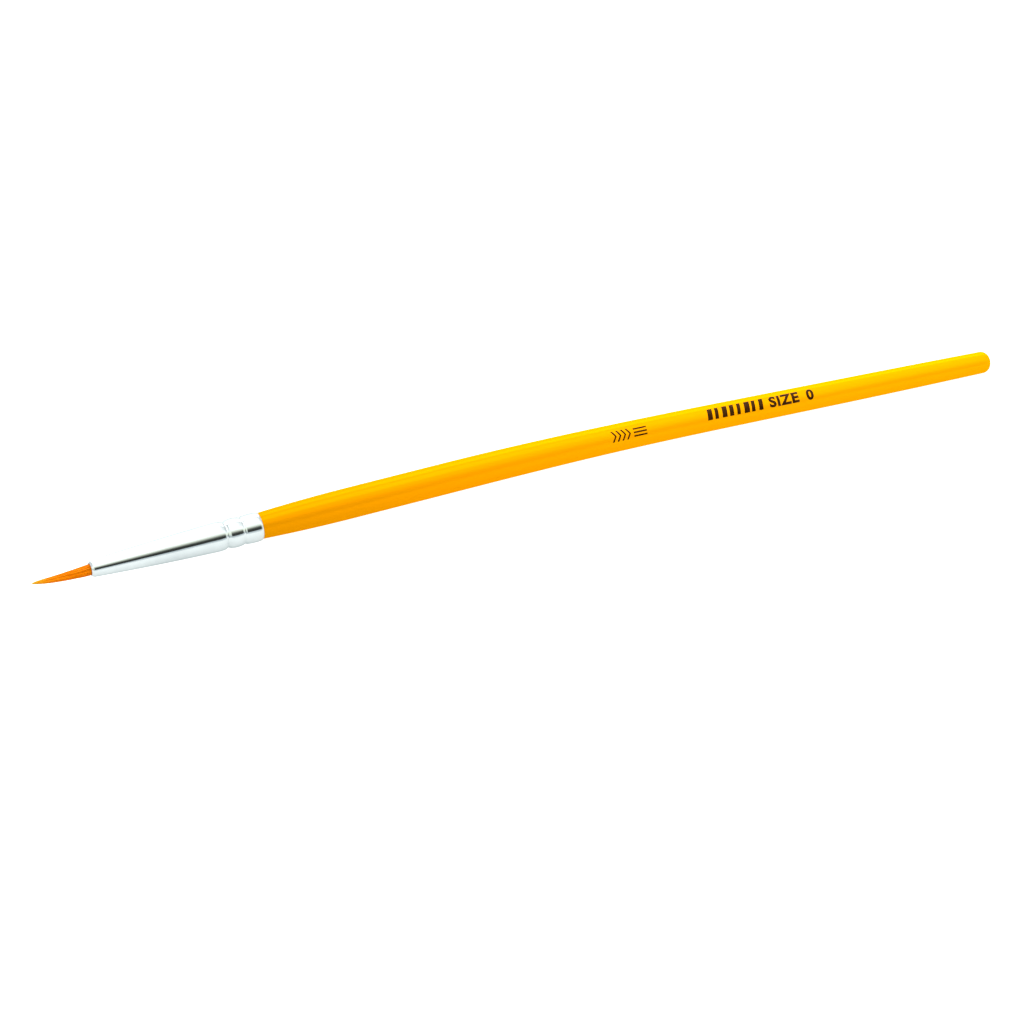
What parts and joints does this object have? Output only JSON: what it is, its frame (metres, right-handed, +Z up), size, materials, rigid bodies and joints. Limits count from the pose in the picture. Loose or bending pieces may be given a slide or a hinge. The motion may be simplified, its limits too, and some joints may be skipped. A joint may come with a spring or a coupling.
{
  "type": "fine detail brush",
  "caption": "Round pointed size 0 hobby paint brush: lacquered wooden handle with a slight bow, crimped conical metal ferrule and a springy pointed tuft.",
  "frame": {"origin": "centre of the underside of the bounding box, on the table the brush lies on", "axes": "+X from the tuft's point towards the butt of the handle, +Z up, +Y completes the right-handed set; the brush lies on its side with the bow of the handle nearly level"},
  "size_m": [0.17, 0.0062, 0.0052],
  "materials": {
    "handle_wood": "satin",
    "yellow_lacquer": "gloss",
    "ferrule_metal": "polished",
    "adhesive": "gloss",
    "thread": "matte",
    "filament": "satin"
  },
  "bodies": {
    "brush": {"handle_core": "handle_wood", "handle_lacquer": "yellow_lacquer", "ferrule": "ferrule_metal", "epoxy_plug": "adhesive", "binding_thread": "thread", "tuft_root": "filament"},
    "tuft_belly": {"tuft_belly": "filament"},
    "tuft_tip": {"tuft_tip": "filament"}
  },
  "joints": [
    {"name": "tuft_bend", "type": "hinge", "parent": "brush", "child": "tuft_belly", "pos_m": [-0.07763, -0.00109, 0.00233], "axis": [0, 0, 1], "range_deg": [-40, 40], "stiffness_Nm_per_rad": 0.0001},
    {"name": "tip_bend", "type": "hinge", "parent": "tuft_belly", "child": "tuft_tip", "pos_m": [-0.08083, -0.00116, 0.00231], "axis": [0, 0, 1], "range_deg": [-40, 40], "stiffness_Nm_per_rad": 0.00003}
  ]
}
